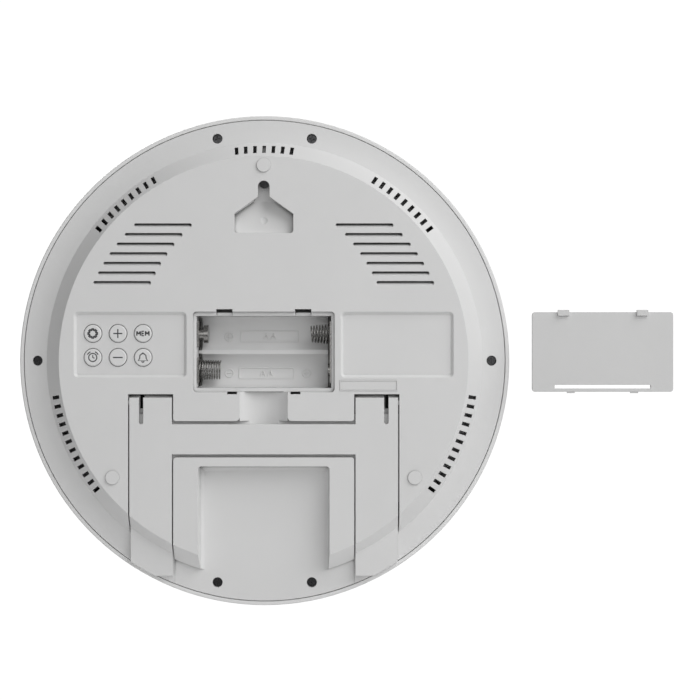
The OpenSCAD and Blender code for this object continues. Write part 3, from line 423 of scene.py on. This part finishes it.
def in_trough(node):
    """Maps right from the clock's middle, up from the trough's axis and outward, to its floor."""
    axis = middle(node)

    def to_row(u, v, lift):
        return Vector((CASE.x - u, axis.y - math.sqrt(TROUGH_R ** 2 - v ** 2) + lift, axis.z + v))
    return to_row


def sign(cx, cy, plus):
    """A plus or a minus in a ring."""
    arm = 1.05
    lines = [circle(cx, cy, 1.9), [(cx - arm, cy), (cx + arm, cy)]]
    return lines + [[(cx, cy - arm), (cx, cy + arm)]] if plus else lines


def split(points, step=1.0):
    """The same line with points no more than step apart, so that it can follow a curved floor."""
    out = [points[0]]
    for a, b in zip(points, points[1:]):
        n = max(1, math.ceil(math.dist(a, b) / step))
        out += [(a[0] + (b[0] - a[0]) * i / n, a[1] + (b[1] - a[1]) * i / n) for i in range(1, n + 1)]
    return out


def cell_frame(x0, x1, cy):
    """Outline of a cell with its size, AA, in it."""
    y0, y1, mid = cy - 2.4, cy + 2.4, (x0 + x1) / 2
    box = [(x0, y0), (x1, y0), (x1, y1), (x0, y1), (x0, y0)]
    places = (mid - 1.7, mid + 1.7)
    letters = [[(x - 1.2, cy - 1.3), (x, cy + 1.3), (x + 1.2, cy - 1.3)] for x in places]
    bars = [[(x - 0.7, cy - 0.4), (x + 0.7, cy - 0.4)] for x in places]
    return [box] + letters + bars


def cell_marks():
    """Where each cell goes, and which way round."""
    upper = sign(-17.0, -1.2, True) + cell_frame(-11.5, 15.2, -1.0)
    lower = sign(-16.8, -1.7, False) + cell_frame(-12.2, 13.0, -1.7) + sign(19.0, -1.7, True)
    for name, node, strokes in (("upper_cell_mark", "spring_right", upper),
                                ("lower_cell_mark", "spring_left", lower)):
        stroked(name, [split(line) for line in strokes], in_trough(node), MARK_W, MARK_H,
                FINISH["back_cover"], "case")


cell_marks()


# ---- battery springs, as smooth wire ----

WIRE_R = 0.36 * MM
STEPS_PER_TURN = 28


def wire_spring(node, side, turns, narrower):
    """A smooth coil in place of the CAD one, between the same ends, narrower at its free end."""
    low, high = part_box(node)
    centre = middle(node)
    big = (high[2] - low[2]) / 2 - WIRE_R
    base = (high[0] if side > 0 else low[0]) - side * WIRE_R
    length = high[0] - low[0] - 2 * WIRE_R
    steps = int(turns * STEPS_PER_TURN)
    curve = bpy.data.curves.new(node + "_wire", "CURVE")
    curve.dimensions = "3D"
    # a little thinner than the CAD wire, so that the coil stays inside its box
    curve.bevel_depth = WIRE_R * 0.95
    curve.bevel_resolution = 4
    curve.use_fill_caps = True
    spline = curve.splines.new("POLY")
    spline.points.add(steps)
    for i, p in enumerate(spline.points):
        share = i / steps
        r = big - narrower * share
        a = 2 * math.pi * turns * share
        p.co = (base - side * length * share, centre.y + r * math.cos(a), centre.z + r * math.sin(a), 1)
    coil = bpy.data.objects.new(node + "_wire", curve)
    bpy.context.collection.objects.link(coil)
    curve.materials.append(FINISH["spring"])
    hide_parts(node)
    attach(coil, "case")


wire_spring("spring_left", 1, 8.25, 0.15 * MM)
wire_spring("spring_right", -1, 6.25, 0.8 * MM)


# ---- display ----

def block_piece(name, blocks, finish, body):
    """One mesh of flat-topped prisms: each block is a list of (x, z) corners with its y span."""
    verts, faces = [], []
    for corners, y0, y1 in blocks:
        n, base = len(corners), len(verts)
        verts += [(x, y0, z) for x, z in corners] + [(x, y1, z) for x, z in corners]
        faces += [tuple(base + i for i in range(n)), tuple(base + n + i for i in reversed(range(n)))]
        faces += [(base + i, base + n + i, base + n + (i + 1) % n, base + (i + 1) % n) for i in range(n)]
    mesh = bpy.data.meshes.new(name)
    mesh.from_pydata(verts, [], faces)
    mesh.validate()
    mesh.update()
    piece = bpy.data.objects.new(name, mesh)
    bpy.context.collection.objects.link(piece)
    mesh.materials.append(finish)
    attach(piece, body)
    return piece


SEGMENTS = {"0": "abcdef", "1": "bc", "2": "abged", "3": "abgcd", "4": "fgbc", "5": "afgcd", "6": "afgedc",
            "7": "abc", "8": "abcdefg", "9": "abfgcd"}


def digit(char, x, z, width, height, thick):
    """Corners of the lit segments of one digit whose lower left corner, seen from the front, is x, z."""
    gap = thick * 0.12
    half = height / 2

    def bar(x0, z0, x1, z1):
        along = Vector((x1 - x0, z1 - z0)).normalized()
        across = Vector((-along.y, along.x)) * thick / 2
        a = Vector((x0, z0)) + along * gap
        b = Vector((x1, z1)) - along * gap
        tip = along * thick / 2
        corners = (a, a + tip + across, b - tip + across, b, b - tip - across, a + tip - across)
        return [tuple(corner) for corner in corners]
    ends = {"a": (0, height, width, height), "b": (width, height, width, half),
            "c": (width, half, width, 0), "d": (0, 0, width, 0), "e": (0, half, 0, 0),
            "f": (0, height, 0, half), "g": (0, half, width, half)}
    return [bar(x + x0, z + z0, x + x1, z + z1) for x0, z0, x1, z1 in (ends[s] for s in SEGMENTS[char])]


def row_of_digits(text, x, z, width, height, thick, pitch):
    """Corners of all the lit segments and colon dots of a text that starts at x, z."""
    shapes = []
    for char in text:
        if char == ":":
            for share in (0.3, 0.7):
                r = thick * 0.6
                cx, cz = x + width * 0.12, z + height * share
                shapes.append([(cx - r, cz - r), (cx + r, cz - r), (cx + r, cz + r), (cx - r, cz + r)])
            x += pitch * 0.42
        else:
            shapes += digit(char, x, z, width, height, thick)
            x += pitch
    return shapes


# digit sizes in mm: width, height, thickness of a segment, pitch
LARGE = (15.5, 33, 3.8, 21.5)
MEDIUM = (7.5, 15, 1.8, 10.5)
SMALL = (7, 14, 1.7, 10.0)
# time, seconds, alarm time, temperature and humidity: text, its lower left corner in mm, its size
READINGS = (("10:08", -57, -2, LARGE), ("36", 39, -2, SMALL), ("18:11", -52, -33, MEDIUM),
            ("21", 4, -33, MEDIUM), ("45", 31, -33, MEDIUM))
# how far in front of the display's glass the print begins, its middle and its outer face
PRINT_INNER, PRINT_MIDDLE, PRINT_OUTER = 0.01 * MM, 0.035 * MM, 0.06 * MM


def display_lines():
    """The degree ring, the percent sign, and the rules between the readings."""
    percent = [circle(56.3, -31.8, 1.1), circle(52.6, -20, 1.1), [(52.8, -31.5), (56, -20.4)]]
    rules = [[(-57, z), (57, z)] for z in (36, -8, -38)] + [[(-4, -37), (-4, -9)]]
    return [circle(26.5, -19.6, 1.1)] + percent + rules


def display():
    centre = middle("lcd_panel")
    front = front_of("lcd_panel")
    blocks = []
    for text, x, z, size in READINGS:
        for shape in row_of_digits(text, x * MM, z * MM, *[length * MM for length in size]):
            corners = [(centre.x + u, centre.z + v) for u, v in shape]
            blocks.append((corners, front - PRINT_OUTER, front - PRINT_INNER))
    block_piece("display_segments", blocks, FINISH["segment"], "case")

    def on_glass(u, v, lift):
        return Vector((centre.x + u, front - PRINT_MIDDLE - lift, centre.z + v))
    stroked("display_marks", display_lines(), on_glass, 0.6 * MM, 0.025 * MM,
            FINISH["segment"], "case")


display()


# ---- stage, light and camera ----

# the clock hangs: the floor, a disc, lies this far below its lowest point
FLOOR_R = 0.62
FLOOR_DROP = 0.24
# each light's place from the middle of the clock, its size and its power
LIGHTS = {
    "key_light": ((-0.80, 0.68, 0.84), 1.4, 13.7),
    "fill_light": ((-0.1, 1.3, 0.2), 0.8, 2.8),
    "front_light": ((0.7, -1.1, 0.9), 1.0, 15.0),
}
SKY_ON_OBJECT = 0.21
SKY_SEEN = 1.05
# the camera stands straight behind the clock and looks at the middle of clock and loose cover
LENS = 82.3
AIM_SIDE = -0.0392
AIM_UP = 0.0049
EYE_Y = 0.7255


def stage():
    bpy.ops.mesh.primitive_circle_add(vertices=96, radius=FLOOR_R, fill_type="NGON",
                                      location=(CASE.x, CASE.y, CAD_BOX[0][2] - FLOOR_DROP))
    floor = bpy.context.object
    floor.name = "floor"
    s = Surface("floor_paper", (0.9, 0.9, 0.9), 0.9)
    s.tint(s.noise(0.2, 2.0), 0.99)
    floor.data.materials.append(s.material)


def area_light(name, offset, size, power):
    data = bpy.data.lights.new(name, "AREA")
    data.shape = "DISK"
    data.size = size
    data.energy = power
    light = bpy.data.objects.new(name, data)
    bpy.context.collection.objects.link(light)
    light.location = CASE + Vector(offset)
    light.rotation_euler = (-Vector(offset)).to_track_quat("-Z", "Y").to_euler()


def studio():
    """Soft sky light, a white ground for the camera alone, and the three lights."""
    world = bpy.data.worlds.new("studio")
    bpy.context.scene.world = world
    world.use_nodes = True
    tree = world.node_tree
    light = tree.nodes["Background"]
    light.inputs["Color"].default_value = (1, 1, 1, 1)
    light.inputs["Strength"].default_value = SKY_ON_OBJECT
    white = tree.nodes.new("ShaderNodeBackground")
    white.inputs["Color"].default_value = (1, 1, 1, 1)
    white.inputs["Strength"].default_value = SKY_SEEN
    path = tree.nodes.new("ShaderNodeLightPath")
    mix = tree.nodes.new("ShaderNodeMixShader")
    tree.links.new(path.outputs["Is Camera Ray"], mix.inputs["Fac"])
    tree.links.new(light.outputs[0], mix.inputs[1])
    tree.links.new(white.outputs[0], mix.inputs[2])
    tree.links.new(mix.outputs[0], tree.nodes["World Output"].inputs["Surface"])
    for name, (offset, size, power) in LIGHTS.items():
        area_light(name, offset, size, power)
    bpy.context.scene.view_settings.view_transform = "Standard"


def camera():
    data = bpy.data.cameras.new("camera")
    data.lens = LENS
    data.sensor_width = 36
    data.clip_start = 0.01
    eye = bpy.data.objects.new("camera", data)
    bpy.context.collection.objects.link(eye)
    eye.location = (CASE.x + AIM_SIDE, EYE_Y, CASE.z + AIM_UP)
    eye.rotation_euler = (math.radians(90), 0, math.radians(180))
    bpy.context.scene.camera = eye


stage()
studio()
camera()
